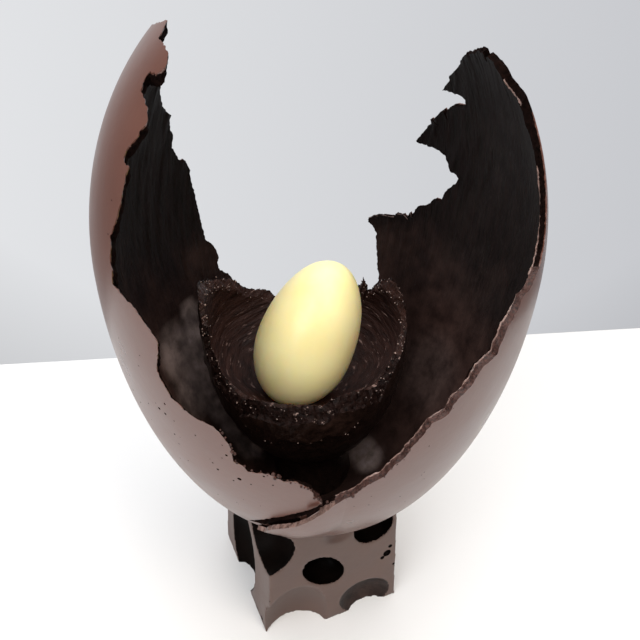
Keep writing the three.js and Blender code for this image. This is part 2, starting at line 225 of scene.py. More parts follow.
def egg_point(egg, azimuth, turn, offset=0.0):
    """A point that lies off the egg's surface by the given distance along the surface normal."""
    half_height = egg.upper if turn < 90 else egg.lower
    outwards = math.sin(math.radians(turn))
    upwards = math.cos(math.radians(turn))
    normal = Vector((outwards / egg.half_width, upwards / half_height)).normalized()
    radius = egg.half_width * outwards + offset * normal.x
    height = half_height * upwards + offset * normal.y
    angle = math.radians(azimuth)
    return Vector((radius * math.sin(angle), -radius * math.cos(angle), height))


def map_place(place, egg, datum):
    """A place on the flat map of an egg, where the turn is the distance from the upper tip."""
    azimuth, height = place
    turn = turn_at_height(egg, height - datum)
    angle = math.radians(azimuth)
    return Vector((turn * math.sin(angle), -turn * math.cos(angle), 0))


def read_map(point):
    """Azimuth and turn of a place on the flat map."""
    return math.degrees(math.atan2(point.x, -point.y)), math.hypot(point.x, point.y)


def jagged(outline, egg, datum, step, strays):
    """Break an outline into short bits that stray to either side in waves of several lengths."""
    places = []
    walked = 0.0
    for start, end in zip(outline, outline[1:] + outline[:1]):
        radius = egg_point(egg, 90, turn_at_height(egg, start[1] - datum)).x
        sweep = (end[0] - start[0] + 540) % 360 - 180
        along = Vector((math.radians(sweep) * radius, end[1] - start[1]))
        bits = max(1, round(along.length / step))
        across = Vector((-along.y, along.x)).normalized()
        for bit in range(bits):
            share = bit / bits
            here = walked + share * along.length
            stray = sum(
                size * noise.noise((here / wave, 10 * seed, datum)) for size, wave, seed in strays)
            places.append((
                start[0] + sweep * share + math.degrees(across.x * stray / radius),
                start[1] + along.y * share + across.y * stray,
            ))
        walked += along.length
    return places


# ---- bodies ----------------------------------------------------------------------------------


def egg_body(egg, around, down, offset=lambda azimuth, turn: 0.0):
    """The whole surface of an egg, moved along its normal by offset(azimuth, turn)."""
    bm = bmesh.new()
    bmesh.ops.create_grid(bm, x_segments=around, y_segments=down, size=1)
    for vert in bm.verts:
        azimuth = 180 * vert.co.x
        turn = 90 * (1 + vert.co.y)
        vert.co = egg_point(egg, azimuth, turn, offset(azimuth, turn))
    bmesh.ops.remove_doubles(bm, verts=bm.verts[:], dist=WELD)
    return facing_out(bm)


def facing_out(bm):
    """Turn the faces of a closed body outwards."""
    bmesh.ops.recalc_face_normals(bm, faces=bm.faces[:])
    if bm.calc_volume(signed=True) < 0:
        bmesh.ops.reverse_faces(bm, faces=bm.faces[:])
    return bm


def skin_block(egg, datum, outline, longest_edge, rows, place_at, finish_at=None):
    """A closed block over a patch of an egg's skin, with its rows placed by azimuth and turn."""
    bm = bmesh.new()
    bm.faces.new([bm.verts.new(map_place(place, egg, datum)) for place in outline])
    bmesh.ops.triangulate(bm, faces=bm.faces[:])
    for _ in range(SPLIT_PASSES):
        long_edges = [edge for edge in bm.edges if edge.calc_length() > longest_edge]
        bmesh.ops.subdivide_edges(bm, edges=long_edges, cuts=1)
        bmesh.ops.triangulate(bm, faces=bm.faces[:])
    top = bm.faces[:]
    for row in range(1, rows):
        raised = bmesh.ops.extrude_face_region(bm, geom=top)["geom"]
        if row > 1:
            bmesh.ops.delete(bm, geom=top, context="FACES")
        top = [part for part in raised if isinstance(part, bmesh.types.BMFace)]
        for vert in {vert for face in top for vert in face.verts}:
            vert.co.z = row
    if finish_at:
        for face in bm.faces:
            middle = face.calc_center_median()
            face.material_index = finish_at(*read_map(middle), middle.z)
    for vert in bm.verts:
        vert.co = place_at(*read_map(vert.co), round(vert.co.z))
    return in_order(facing_out(bm))


def in_order(bm):
    """Extruding and spinning leave faces in no fixed order, so they are sorted by their corners."""
    bmesh.ops.triangulate(bm, faces=bm.faces[:], quad_method="SHORT_EDGE")
    bm.verts.index_update()
    count = len(bm.verts)

    def rank(face):
        low, middle, high = sorted(vert.index for vert in face.verts)
        return (low * count + middle) * count + high

    bm.faces.sort(key=rank)
    return bm


def roughened(point, roughness):
    stray, grain = roughness
    return point + stray * noise.noise_vector(point / grain)


def make_piece(name, bm, materials=()):
    """Turn a finished bmesh into an object with the given materials."""
    mesh = bpy.data.meshes.new(name)
    bm.to_mesh(mesh)
    bm.free()
    for material in materials:
        mesh.materials.append(material)
    piece = bpy.data.objects.new(name, mesh)
    bpy.context.scene.collection.objects.link(piece)
    return piece


def settle(piece):
    """Fix the modifiers of a piece into its mesh."""
    bpy.context.view_layer.update()
    graph = bpy.context.evaluated_depsgraph_get()
    mesh = bpy.data.meshes.new_from_object(piece.evaluated_get(graph))
    mesh.name = piece.name
    piece.modifiers.clear()
    old = piece.data
    piece.data = mesh
    bpy.data.meshes.remove(old)


def carve(piece, tool_bm, operation="DIFFERENCE"):
    """Join a tool to a piece, cut it away, or keep what both share."""
    tool = make_piece("tool", tool_bm)
    step = piece.modifiers.new("carve", "BOOLEAN")
    step.operation = operation
    step.solver = "MANIFOLD"
    step.object = tool
    settle(piece)
    bpy.data.objects.remove(tool)


def paint_faces(bm, index):
    for face in bm.faces:
        face.material_index = index
    return bm


def finish_mesh(piece, crease=CREASE):
    """Scale to metres and shade smoothly, with crisp edges where it is steep or a finish ends."""
    bm = bmesh.new()
    bm.from_mesh(piece.data)
    bmesh.ops.scale(bm, vec=(MM, MM, MM), verts=bm.verts)
    for face in bm.faces:
        face.smooth = True
    for edge in bm.edges:
        same = len({face.material_index for face in edge.link_faces}) == 1
        edge.smooth = same and edge.calc_face_angle(0) < math.radians(crease)
    bm.to_mesh(piece.data)
    bm.free()


def dress(piece, node):
    """The piece rides on the body and stands for its solid, which is hidden."""
    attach(piece, "root")
    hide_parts(node)


# ---- the big shell ---------------------------------------------------------------------------

# Long waves in the brushed wall: count round the axis, swing in degrees, swings, depth.
BRUSH_TRAINS = [(7, 40, 2, 0.27), (16, 65, 3, 0.33)]

# Brush strokes on the inside: size across, size along, depth.
INSIDE_STROKES = [(4.6, 40, 0.75), (2.2, 17, 0.42)]

# The strokes swing to either side by some degrees, so many times from tip to tip.
STROKE_SWING = 9
STROKE_SWINGS = 2.2
STROKE_PER_TURN = 2.1

# The strokes grow faint between these turns, and how much of them is left.
STROKES_FADE = (118, 96)
STROKES_LEFT = 0.3

# Edge waves of the broken wall: stray, wave length. Each layer of chocolate has its own fine ones.
COARSE_WAVE = (0.5, 7.5)
FINE_WAVES = [(0.6, 2.6), (0.35, 1.3)]
BREAK_STEP = 1.0
INNER_LAYER = [-9.5, -4.7, -4.1, -3.5, -2.9, -2.3, -1.7]
OUTER_LAYER = [-2.1, -1.6, -1.1, -0.6, -0.1, 9.3]
SKIN_DEPTH = -0.6
EDGE_DEPTH = -3.5
CUTTER_EDGE = 4
ROUGH_WALL = (0.45, 1.7)
LIP_GRID = 1.6
SUNK = 1.2

# The broken wall leans back by this much, between these azimuths, with a soft start and end.
UNDERCUT = 1.9
LEFT_UNDERCUT = (-88, -72, -6, 2)
RIGHT_UNDERCUT = (58, 70, 96, 104)
RIGHT_UNDERCUT_SHARE = 0.6

# How finely the outside and the inside of the shell are divided, round the axis and down.
SHELL_GRID = (200, 110)
SHELL_HOLLOW_GRID = (760, 120)

# Air holes in the outside: azimuth, height, radius.
PINHOLES = [
    (-40, 134, 0.8), (-37, 140, 0.6), (-38, 133, 0.7), (-51, 124, 0.5), (-54, 128, 0.45),
    (-37, 121, 0.5), (-25, 109, 0.7), (-21, 123, 0.7), (-19, 107, 1.1), (-12, 114, 0.6),
    (-21, 104, 0.5), (-26, 113, 0.5), (6, 88, 0.7), (7, 84, 0.5), (5, 90, 0.5), (-53, 206, 0.4),
    (-53, 219, 0.35), (-29, 129, 0.45), (-16, 105, 0.45), (-10, 108, 0.5),
]

# Finer holes strewn over the lower left: count, then azimuths, heights and radii.
FINE_PINHOLES = 70
FINE_AZIMUTHS = (-75, 35)
FINE_HEIGHTS = (45, 190, 80)
FINE_RADII = (0.18, 0.4)
PIT_STANDS_OUT = 0.35

LIP_PATCH = [
    (12, 100), (6, 101), (2, 94), (-3, 84), (-9, 75.5), (-15, 66), (-20, 56), (-19, 44), (-10, 38),
    (2, 36), (12, 42), (18, 56), (19, 78),
]
LIP_FULL_AZIMUTH = -6
LIP_END_AZIMUTH = 16
LIP_LOW_HEIGHT = 40
LIP_HIGH_HEIGHT = 62

OUTSIDE, INSIDE, BREAK, EDGE, CHIPPED = 0, 1, 2, 3, 4

# Azimuths between which the inner edge of the broken wall has a painted highlight line, the wall is
# chipped, and the right horn's tip is dark.
LIT_LINES = [(4, 76), (86, 100), (145, 163)]
CHIPPED_WALL_SPAN = (0, 62)
DARK_TIP = (84, 125)

# The middle of the crack: its height at the front, and how much it climbs per degree.
CRACK_MIDDLE = 87.5
CRACK_SLANT = 1.45

# How deep the painted highlight along the crack's lower edge goes, and where the lip lifts off.
SEAM_LINE = -1.1
FLAP_LINE = -0.1
LIP_LIFTS = 2

# The skin under the lip that is painted near-black as shade: azimuths, lowest height, and how far
# off the skin it reaches.
UNDER_LIP = (-19, -4)
UNDER_LIP_LOW = 58
SKIN_REACH = 0.9

# The edge is crumbly between these azimuths, below this height.
CRUMBLY = (-24, 26)
CRUMBLY_TOP = 138
EDGE_CRUMB_SHARE = 0.6
EDGE_CRUMB_SIZE = 1.0
EDGE_CRUMB_TURNS = (-0.2, 0.5)
EDGE_CRUMB_DEPTHS = (-1.2, 0)

# Paler places painted on the inside of the shell as sheen and light: azimuth, height, radius in mm,
# strength.
PAINTED_SHEEN_PLACES = [
    (-122, 96, 7, 0.6), (-120, 83, 8, 0.75), (-118, 69, 8, 0.75), (-115, 55, 8, 0.75),
    (-112, 41, 8, 0.7), (-110, 29, 7, 0.6), (-108, 19, 7, 0.6), (-113, 15, 5, 1),
    (-108, 82, 15, 0.55), (-105, 60, 14, 0.55), (124, 12, 8, 1), (110, 12, 8, 1),
    (117, 64, 22, 0.07), (100, 200, 45, 0.022), (108, 150, 45, 0.02),
]
SHEEN_ENDS = 1.5
SHEEN_FULL = 0.5

# Keeps the grain's fall defined at the tips of an egg.
TIP_MARGIN = 3


def brushed_wall(azimuth, turn):
    """The inside of the wall: long waves, with long strokes of the brush on top."""
    waves = 0
    for count, swing, swings, depth in BRUSH_TRAINS:
        bend = swing * math.sin(math.radians(swings * turn))
        waves += depth * math.sin(math.radians(count * azimuth + bend))
    angle = math.radians(azimuth + STROKE_SWING * math.sin(math.radians(STROKE_SWINGS * turn)))
    round_axis = BIG_EGG.half_width * Vector((math.sin(angle), math.cos(angle)))
    upper = smooth_ramp(turn, *STROKES_FADE)
    strokes = 0
    for across, along, depth in INSIDE_STROKES:
        down = STROKE_PER_TURN * turn / along
        place = Vector((round_axis.x / across, round_axis.y / across, down))
        strokes += depth * noise.noise(place) * (STROKES_LEFT + (1 - STROKES_LEFT) * upper)
    return (waves + strokes) * math.sin(math.radians(turn)) - BIG_WALL


def even(distance):
    return lambda azimuth, turn: distance


def lip_place(azimuth, turn, row):
    """The lip is a thin flap that stands out most at its left end."""
    height = egg_point(BIG_EGG, azimuth, turn).z + BIG_EGG.lower
    rightwards = smooth_ramp(-azimuth, -LIP_END_AZIMUTH, -LIP_FULL_AZIMUTH)
    upwards = smooth_ramp(height, LIP_LOW_HEIGHT, LIP_HIGH_HEIGHT)
    rise = -SUNK + (LIP_RISE + SUNK) * rightwards * upwards
    if row == 0:
        rise = max(-BIG_WALL / 2, rise - LIP_WALL)
    return egg_point(BIG_EGG, azimuth, turn, rise)


# The lip's broken sides take the near-black broken wall finish, and so does its underside, as
# painted shade.
def lip_finish(azimuth, turn, row):
    return OUTSIDE if row == 1 else BREAK


def layer_cutter(outline, layer, depths, seam):
    """A cutter through one layer of the big wall, with its own fine breaks along the outline."""
    def finish_at(azimuth, turn, row):
        depth = depths[int(row)]
        # EDGE is a painted highlight: along the lower side of the crack, and on the inner edge at
        # LIT_LINES.
        if seam:
            height = egg_point(BIG_EGG, azimuth, turn).z + BIG_EGG.lower
            below = height < CRACK_MIDDLE + CRACK_SLANT * azimuth
            light_from = SEAM_LINE if azimuth > LIP_LIFTS else FLAP_LINE
            return EDGE if depth >= light_from and below else BREAK
        if depth == EDGE_DEPTH:
            return EDGE if any(start < azimuth < end for start, end in LIT_LINES) else BREAK
        if depth > EDGE_DEPTH and CHIPPED_WALL_SPAN[0] < azimuth < CHIPPED_WALL_SPAN[1]:
            return CHIPPED
        if depth >= SKIN_DEPTH:
            return BREAK if DARK_TIP[0] < azimuth < DARK_TIP[1] else OUTSIDE
        return BREAK

    def place_at(azimuth, turn, row):
        depth = depths[row]
        back = 0 if seam else UNDERCUT * max(0, -depth) / BIG_WALL
        at_right = between(azimuth, *RIGHT_UNDERCUT)
        side = RIGHT_UNDERCUT_SHARE * at_right - between(azimuth, *LEFT_UNDERCUT)
        point = egg_point(BIG_EGG, azimuth + side * back, turn + abs(side) * back, depth)
        inner_row = 0 < row < len(depths) - 1
        return roughened(point, ROUGH_WALL) if inner_row else point

    waves = [COARSE_WAVE + (0,)] + [wave + (layer + 1,) for wave in FINE_WAVES]
    broken = jagged(outline, BIG_EGG, BIG_EGG.lower, BREAK_STEP, waves)
    return skin_block(
        BIG_EGG, BIG_EGG.lower, broken, CUTTER_EDGE, len(depths), place_at, finish_at)


def pits(egg, datum, places):
    """Round pits, each an azimuth, a height and a radius."""
    bm = bmesh.new()
    for azimuth, height, radius in places:
        turn = turn_at_height(egg, height - datum)
        middle = egg_point(egg, azimuth, turn, PIT_STANDS_OUT * radius)
        bmesh.ops.create_icosphere(
            bm, subdivisions=2, radius=radius, matrix=Matrix.Translation(middle))
    return bm


def pinholes():
    """Air holes listed along the lower edges, and finer ones strewn over the lower left."""
    strewn = random.Random(5)
    places = list(PINHOLES)
    for _ in range(FINE_PINHOLES):
        azimuth = strewn.uniform(*FINE_AZIMUTHS)
        height = strewn.triangular(*FINE_HEIGHTS)
        places.append((azimuth, height, strewn.uniform(*FINE_RADII)))
    return pits(BIG_EGG, BIG_EGG.lower, places)


def paint_shade_under_lip(piece):
    """Paint the old skin under the raised lip with the broken wall's near-black, as painted shade
    in the gap.
    """
    for face in piece.data.polygons:
        azimuth = math.degrees(math.atan2(face.center.x, -face.center.y))
        height = face.center.z + BIG_EGG.lower
        crack = CRACK_MIDDLE + CRACK_SLANT * azimuth
        if UNDER_LIP[0] < azimuth < UNDER_LIP[1] and UNDER_LIP_LOW < height < crack:
            skin = egg_point(BIG_EGG, azimuth, turn_at_height(BIG_EGG, face.center.z))
            if face.center.xy.length - skin.xy.length < SKIN_REACH:
                face.material_index = BREAK


def edge_crumbs():
    """Crumbs along the lowest part of the broken edge."""
    loose = random.Random(11)
    outline = jagged(BIG_OPENING, BIG_EGG, BIG_EGG.lower, BREAK_STEP, [COARSE_WAVE + (0,)])
    places = []
    for azimuth, height in outline:
        if CRUMBLY[0] < azimuth < CRUMBLY[1] and height < CRUMBLY_TOP:
            turn = turn_at_height(BIG_EGG, height - BIG_EGG.lower)
            turn += loose.uniform(*EDGE_CRUMB_TURNS)
            places.append(egg_point(BIG_EGG, azimuth, turn, loose.uniform(*EDGE_CRUMB_DEPTHS)))
    return crumbs(places, EDGE_CRUMB_SHARE, EDGE_CRUMB_SIZE, 4)


def big_shell(materials):
    piece = make_piece("broken_outer_egg", egg_body(BIG_EGG, *SHELL_GRID), materials)
    lip = skin_block(BIG_EGG, BIG_EGG.lower, LIP_PATCH, LIP_GRID, 2, lip_place, lip_finish)
    carve(piece, lip, "UNION")
    carve(piece, paint_faces(egg_body(BIG_EGG, *SHELL_HOLLOW_GRID, brushed_wall), INSIDE))
    for seam, outline in enumerate((BIG_OPENING, CRACK_UPPER + CRACK_LOWER)):
        for layer, depths in enumerate((INNER_LAYER, OUTER_LAYER)):
            carve(piece, layer_cutter(outline, layer, depths, seam))
    carve(piece, paint_faces(edge_crumbs(), CHIPPED), "UNION")
    # The pinholes take the near-black broken wall finish, as painted shade inside them.
    carve(piece, paint_faces(pinholes(), BREAK))
    paint_shade_under_lip(piece)
    mark_grain(piece, BIG_EGG)
    mark_painted_sheen(piece)
    piece.data.transform(Matrix.Translation(BIG_CENTRE))
    finish_mesh(piece)
    return piece


def mark_grain(piece, egg):
    """Store how far each corner lies round the axis and down from the tip, in metres."""
    grain = piece.data.attributes.new("grain", "FLOAT_VECTOR", "POINT")
    for vert, mark in zip(piece.data.vertices, grain.data):
        place = vert.co
        round_axis = Vector((place.x, place.y)).normalized() * egg.half_width
        half_height = egg.upper if place.z > 0 else egg.lower
        fall = half_height * math.asin(min(max(place.z / (half_height + TIP_MARGIN), -1), 1))
        mark.vector = Vector((round_axis.x, round_axis.y, fall)) * MM


def mark_painted_sheen(piece):
    """Store how much painted sheen and light the inside of the shell gets at each corner."""
    spots = []
    for azimuth, height, radius, strength in PAINTED_SHEEN_PLACES:
        turn = turn_at_height(BIG_EGG, height - BIG_EGG.lower)
        spots.append((egg_point(BIG_EGG, azimuth, turn, -BIG_WALL), radius, strength))
    pale = piece.data.attributes.new("pale", "FLOAT", "POINT")
    for vert, mark in zip(piece.data.vertices, pale.data):
        mark.value = max(
            strength * smooth_ramp((vert.co - spot).length, SHEEN_ENDS * radius, SHEEN_FULL * radius)
            for spot, radius, strength in spots)


# ---- the bowl --------------------------------------------------------------------------------

CRUMB = 3

# How finely the bowl's outside and hollow, the white egg's socket and the shell's hollow that the
# bowl sits in are divided, round the axis and down.
BOWL_GRID = (300, 160)
BOWL_HOLLOW_GRID = (400, 150)
SOCKET_GRID = (96, 64)
SEATED_GRID = (256, 140)

# Strokes in the hollow: size along, size across, depth. They tilt round the axis.
WHIRL_STROKES = [(26, 2.4, 0.5), (14, 1.2, 0.25)]
WHIRL_TILT = 7
WHIRL_LOW_SIDE = 40
WHIRL_WAVES = 9
WHIRL_WAVE_DEPTH = 0.5

# Lumps on the outside, each a height and a size, and how far the whole outside is drawn in.
BOWL_LUMPS = [(0.9, 7), (0.5, 2.6)]
BOWL_DRAWN_IN = 0.4

# The skirt of drips: how far it stands out, the share that is left at its top, between these
# depths below the widest plane, and its lumps.
SKIRT_RISE = 2.2
SKIRT_TOP_SHARE = 0.6
SKIRT_SPAN = (8, 28)
SKIRT_LUMP = (0.8, 4)

# Edge waves of the rim and the skirt: stray, wave length, seed.
BOWL_STEP = 0.9
BOWL_WAVES = [(0.8, 6, 1), (0.9, 2.4, 2), (0.4, 1.0, 3)]
SKIRT_EDGE = 2
RIM_EDGE = 8

# The rows of the rim, as distances off the bowl's skin, and how they slope.
RIM_ROWS = [-12, -5.6, -4.9, -4.2, -3.5, -2.8, -2.1, -1.4, -0.7, 0, 0.7, 9]
ROUGH_RIM = (0.9, 2.2)
RIM_SLOPE = 0.9
RIM_REACH = 4.6
RIM_FRONT = 0.4
RIM_FRONT_RAMP = (0.1, 0.7)
RIM_FINISH_FROM_FRONT = -5
RIM_FINISH_FROM_BACK = -1.3

# Crumbs: how many of the places have one, the largest radius, and how they scatter.
CRUMB_SHARE = 0.12
CRUMB_SIZE = 0.65
CRUMB_SMALLEST = 0.35
CRUMB_STRAY = 0.5
CRUMB_GAP = 0.1
CRUMB_ROLL = 6
CRUMB_ROWS = (3, 4, 6, 8)
DRIP_TIPS = -24
DRIP_CRUMB_TURN = 0.6


def whirled_hollow(azimuth, turn):
    """The bowl's hollow was smeared round and round, so its strokes run round the axis."""
    skin = egg_point(BOWL_HOLLOW, azimuth, turn)
    height = skin.z + WHIRL_TILT * math.sin(math.radians(azimuth + WHIRL_LOW_SIDE))
    strokes = 0
    for along, across, depth in WHIRL_STROKES:
        place = Vector((skin.x / along, skin.y / along, height / across))
        strokes += depth * noise.noise(place)
    fade = math.sin(math.radians(turn))
    waves = WHIRL_WAVE_DEPTH * math.sin(math.radians(WHIRL_WAVES * azimuth))
    return strokes * fade + waves * fade


def lumpy_outside(azimuth, turn):
    skin = egg_point(BOWL_EGG, azimuth, turn)
    lumps = sum(size * noise.noise(skin / wide) for size, wide in BOWL_LUMPS)
    return (lumps - BOWL_DRAWN_IN) * math.sin(math.radians(turn))


def skirt_place(azimuth, turn, row):
    """The skirt of drips stands proud of the bowl, most along its lower edge."""
    skin = egg_point(BOWL_EGG, azimuth, turn)
    if row == 0:
        return egg_point(BOWL_EGG, azimuth, turn, -2 * SUNK)
    size, wide = SKIRT_LUMP
    fall = SKIRT_TOP_SHARE + (1 - SKIRT_TOP_SHARE) * smooth_ramp(-skin.z, *SKIRT_SPAN)
    return egg_point(BOWL_EGG, azimuth, turn, SKIRT_RISE * fall + size * noise.noise(skin / wide))


def skirt_finish(azimuth, turn, row):
    return BREAK if row % 1 else OUTSIDE


def rim_place(azimuth, turn, row):
    """The rim slopes down to the inside at the back and to the outside at the front."""
    depth = RIM_ROWS[row]
    inwards = min(max(-depth, 0), RIM_REACH)
    front = smooth_ramp(math.cos(math.radians(azimuth)), *RIM_FRONT_RAMP)
    fall = inwards + front * (RIM_REACH - 2 * inwards)
    point = egg_point(BOWL_EGG, azimuth, turn + RIM_SLOPE * fall, depth)
    inner_row = 0 < row < len(RIM_ROWS) - 1
    return roughened(point, ROUGH_RIM) if inner_row else point


def rim_finish(azimuth, turn, row):
    at_front = math.cos(math.radians(azimuth)) > RIM_FRONT
    finish_from = RIM_FINISH_FROM_FRONT if at_front else RIM_FINISH_FROM_BACK
    return BREAK if RIM_ROWS[int(row)] > finish_from else INSIDE


def bowl_foot():
    bm = bmesh.new()
    profile = [
        (0, FOOT_BOTTOM), (FOOT_RADIUS + FOOT_SPREAD, FOOT_BOTTOM),
        (FOOT_RADIUS, (FOOT_TOP + FOOT_BOTTOM) / 2), (FOOT_RADIUS + FOOT_SPREAD, FOOT_TOP),
        (0, FOOT_TOP),
    ]
    corners = [bm.verts.new((radius, 0, height)) for radius, height in profile]
    edges = [bm.edges.new(pair) for pair in zip(corners, corners[1:])]
    bmesh.ops.spin(
        bm, geom=corners + edges, cent=(0, 0, 0), axis=(0, 0, 1), angle=math.tau,
        steps=FOOT_STEPS, use_merge=True)
    bmesh.ops.remove_doubles(bm, verts=bm.verts[:], dist=WELD)
    return in_order(facing_out(bm))


def moved(bm, matrix):
    bmesh.ops.transform(bm, matrix=matrix, verts=bm.verts[:])
    return bm


def crumbs(places, share, largest, seed):
    """Glossy crumbs that stick to a broken edge and never touch each other."""
    scattered = random.Random(seed)
    bm = bmesh.new()
    laid = []
    for place in places:
        radius = scattered.uniform(CRUMB_SMALLEST, 1) * largest
        middle = place + Vector([scattered.uniform(-CRUMB_STRAY, CRUMB_STRAY) for _ in range(3)])
        clear = all(
            (middle - other).length > radius + size + CRUMB_GAP for other, size in laid)
        if scattered.random() < share and clear:
            laid.append((middle, radius))
            turned = Matrix.Rotation(scattered.random() * CRUMB_ROLL, 4, "X")
            bmesh.ops.create_icosphere(
                bm, subdivisions=1, radius=radius, matrix=Matrix.Translation(middle) @ turned)
    return facing_out(bm)


def rim_crumbs(rim):
    places = []
    for place in rim:
        azimuth, turn = read_map(map_place(place, BOWL_EGG, 0))
        for row in CRUMB_ROWS:
            places.append(rim_place(azimuth, turn, row))
    return crumbs(places, CRUMB_SHARE, CRUMB_SIZE, 3)


def skirt_crumbs(skirt):
    places = []
    for azimuth, height in skirt:
        if height < DRIP_TIPS:
            turn = turn_at_height(BOWL_EGG, height)
            places.append(skirt_place(azimuth, turn, 1))
            places.append(skirt_place(azimuth, turn + DRIP_CRUMB_TURN, 1))
    return crumbs(places, CRUMB_SHARE, CRUMB_SIZE, 8)


def clear_of_shell(azimuth, turn):
    return brushed_wall(azimuth, turn) - GAP


def inner_bowl(materials):
    outside = egg_body(BOWL_EGG, *BOWL_GRID, lumpy_outside)
    piece = make_piece("broken_inner_bowl", outside, materials)
    skirt = jagged(SKIRT, BOWL_EGG, 0, BOWL_STEP, BOWL_WAVES)
    carve(piece, skin_block(BOWL_EGG, 0, skirt, SKIRT_EDGE, 2, skirt_place, skirt_finish), "UNION")
    carve(piece, bowl_foot(), "UNION")
    carve(piece, paint_faces(egg_body(BOWL_HOLLOW, *BOWL_HOLLOW_GRID, whirled_hollow), INSIDE))
    rim = jagged(BOWL_RIM, BOWL_EGG, 0, BOWL_STEP, BOWL_WAVES)
    carve(piece, skin_block(BOWL_EGG, 0, rim, RIM_EDGE, len(RIM_ROWS), rim_place, rim_finish))
    carve(piece, paint_faces(rim_crumbs(rim), CRUMB), "UNION")
    carve(piece, paint_faces(skirt_crumbs(skirt), CRUMB), "UNION")
    mark_grain(piece, BOWL_EGG)
    piece.data.transform(BOWL_PLACE)
    socket = moved(egg_body(WHITE_EGG, *SOCKET_GRID, even(GAP)), white_place())
    carve(piece, paint_faces(socket, INSIDE))
    hollow = egg_body(BIG_EGG, *SEATED_GRID, clear_of_shell)
    carve(piece, moved(hollow, Matrix.Translation(BIG_CENTRE)), "INTERSECT")
    finish_mesh(piece)
    return piece


# ---- the white egg ---------------------------------------------------------------------------

# The polished skin's soft waves: height, size and how far the whole skin is drawn in.
WHITE_GRID = (192, 120)
WHITE_WAVE = (0.25, 17)
WHITE_DRAWN_IN = 0.1


def white_place():
    turn = Vector((0, 0, 1)).rotation_difference(WHITE_AXIS)
    return Matrix.Translation(WHITE_CENTRE) @ turn.to_matrix().to_4x4()


def hand_polished(azimuth, turn):
    size, wide = WHITE_WAVE
    return size * noise.noise(egg_point(WHITE_EGG, azimuth, turn) / wide) - WHITE_DRAWN_IN


def white_egg(materials):
    skin = egg_body(WHITE_EGG, *WHITE_GRID, hand_polished)
    piece = make_piece("white_egg_inside", skin, materials)
    piece.data.transform(white_place())
    finish_mesh(piece)
    return piece


# ---- the block -------------------------------------------------------------------------------

# The block is set in grains of this size, then its edges are softened.
BLOCK_GRAIN = 0.9
SOFTEN_SHARE = 0.5
SOFTEN_PASSES = 4
SEAT_GRID = (192, 160)
SEAT_PLAY = 0.1

# The scoops whose walls are painted with shade, near-black in the deep scoops and dark brown in the
# arch, and how far that finish reaches, as a share of their size.
SHADED_SCOOPS = (0, 1, 2, 6)
SHADED_ARCHES = (5,)
SCOOP_REACH = 1.015
SCOOP_SHADE, ARCH_SHADE = 1, 2


def scoop(middle, half, tilt):
    bm = bmesh.new()
    bmesh.ops.create_uvsphere(bm, u_segments=96, v_segments=64, radius=1)
    bmesh.ops.scale(bm, vec=half, verts=bm.verts)
    bmesh.ops.rotate(bm, matrix=Matrix.Rotation(math.radians(tilt), 3, "Y"), verts=bm.verts)
    bmesh.ops.translate(bm, vec=middle, verts=bm.verts)
    return bm


def cast_block(materials):
    bm = bmesh.new()
    bmesh.ops.create_cube(bm, size=1)
    bmesh.ops.translate(bm, vec=(0, 0, 0.5), verts=bm.verts)
    bmesh.ops.scale(bm, vec=(BLOCK_SIDE, BLOCK_SIDE, BLOCK_HEIGHT), verts=bm.verts)
    for vert in bm.verts:
        if vert.co.z > BLOCK_HEIGHT / 2:
            vert.co.xy *= BLOCK_TOP_SIDE / BLOCK_SIDE
    piece = make_piece("scooped_block", bm, materials)
    for middle, half, tilt in SCOOPS:
        carve(piece, scoop(middle, half, tilt))
    place = Matrix.Translation(BLOCK_CENTRE) @ Matrix.Rotation(math.radians(BLOCK_TURN), 4, "Z")
    piece.data.transform(place)
    seat = egg_body(BIG_EGG, *SEAT_GRID, even(GAP + SEAT_PLAY))
    carve(piece, moved(seat, Matrix.Translation(BIG_CENTRE)))
    remesh = piece.modifiers.new("set", "REMESH")
    remesh.mode = "VOXEL"
    remesh.voxel_size = BLOCK_GRAIN
    soften = piece.modifiers.new("soften", "SMOOTH")
    soften.factor = SOFTEN_SHARE
    soften.iterations = SOFTEN_PASSES
    settle(piece)
    # The pits take the near-black scoop finish as painted shade.
    carve(piece, paint_faces(moved(block_pits(), place), SCOOP_SHADE))
    # Painted shade: faces on the walls of the listed scoops get the near-black scoop finish, and
    # the arch's wall a dark brown one.
    to_block = place.inverted()
    for face in piece.data.polygons:
        spot = to_block @ face.center
        if any(on_scoop(spot, SCOOPS[index]) for index in SHADED_SCOOPS):
            face.material_index = SCOOP_SHADE
        elif any(on_scoop(spot, SCOOPS[index]) for index in SHADED_ARCHES):
            face.material_index = ARCH_SHADE
    finish_mesh(piece, NO_CREASE)
    return piece


def block_pits():
    bm = bmesh.new()
    for middle, radius in BLOCK_PITS:
        bmesh.ops.create_icosphere(
            bm, subdivisions=2, radius=radius, matrix=Matrix.Translation(middle))
    return bm


def on_scoop(spot, scoop_sizes):
    middle, half, tilt = scoop_sizes
    spot = Matrix.Rotation(math.radians(-tilt), 3, "Y") @ (spot - Vector(middle))
    return Vector(part / size for part, size in zip(spot, half)).length < SCOOP_REACH


# ---- finishes --------------------------------------------------------------------------------


def finish_nodes(name):
    material = bpy.data.materials.new(name)
    material.use_nodes = True
    return material, material.node_tree.nodes, material.node_tree.links


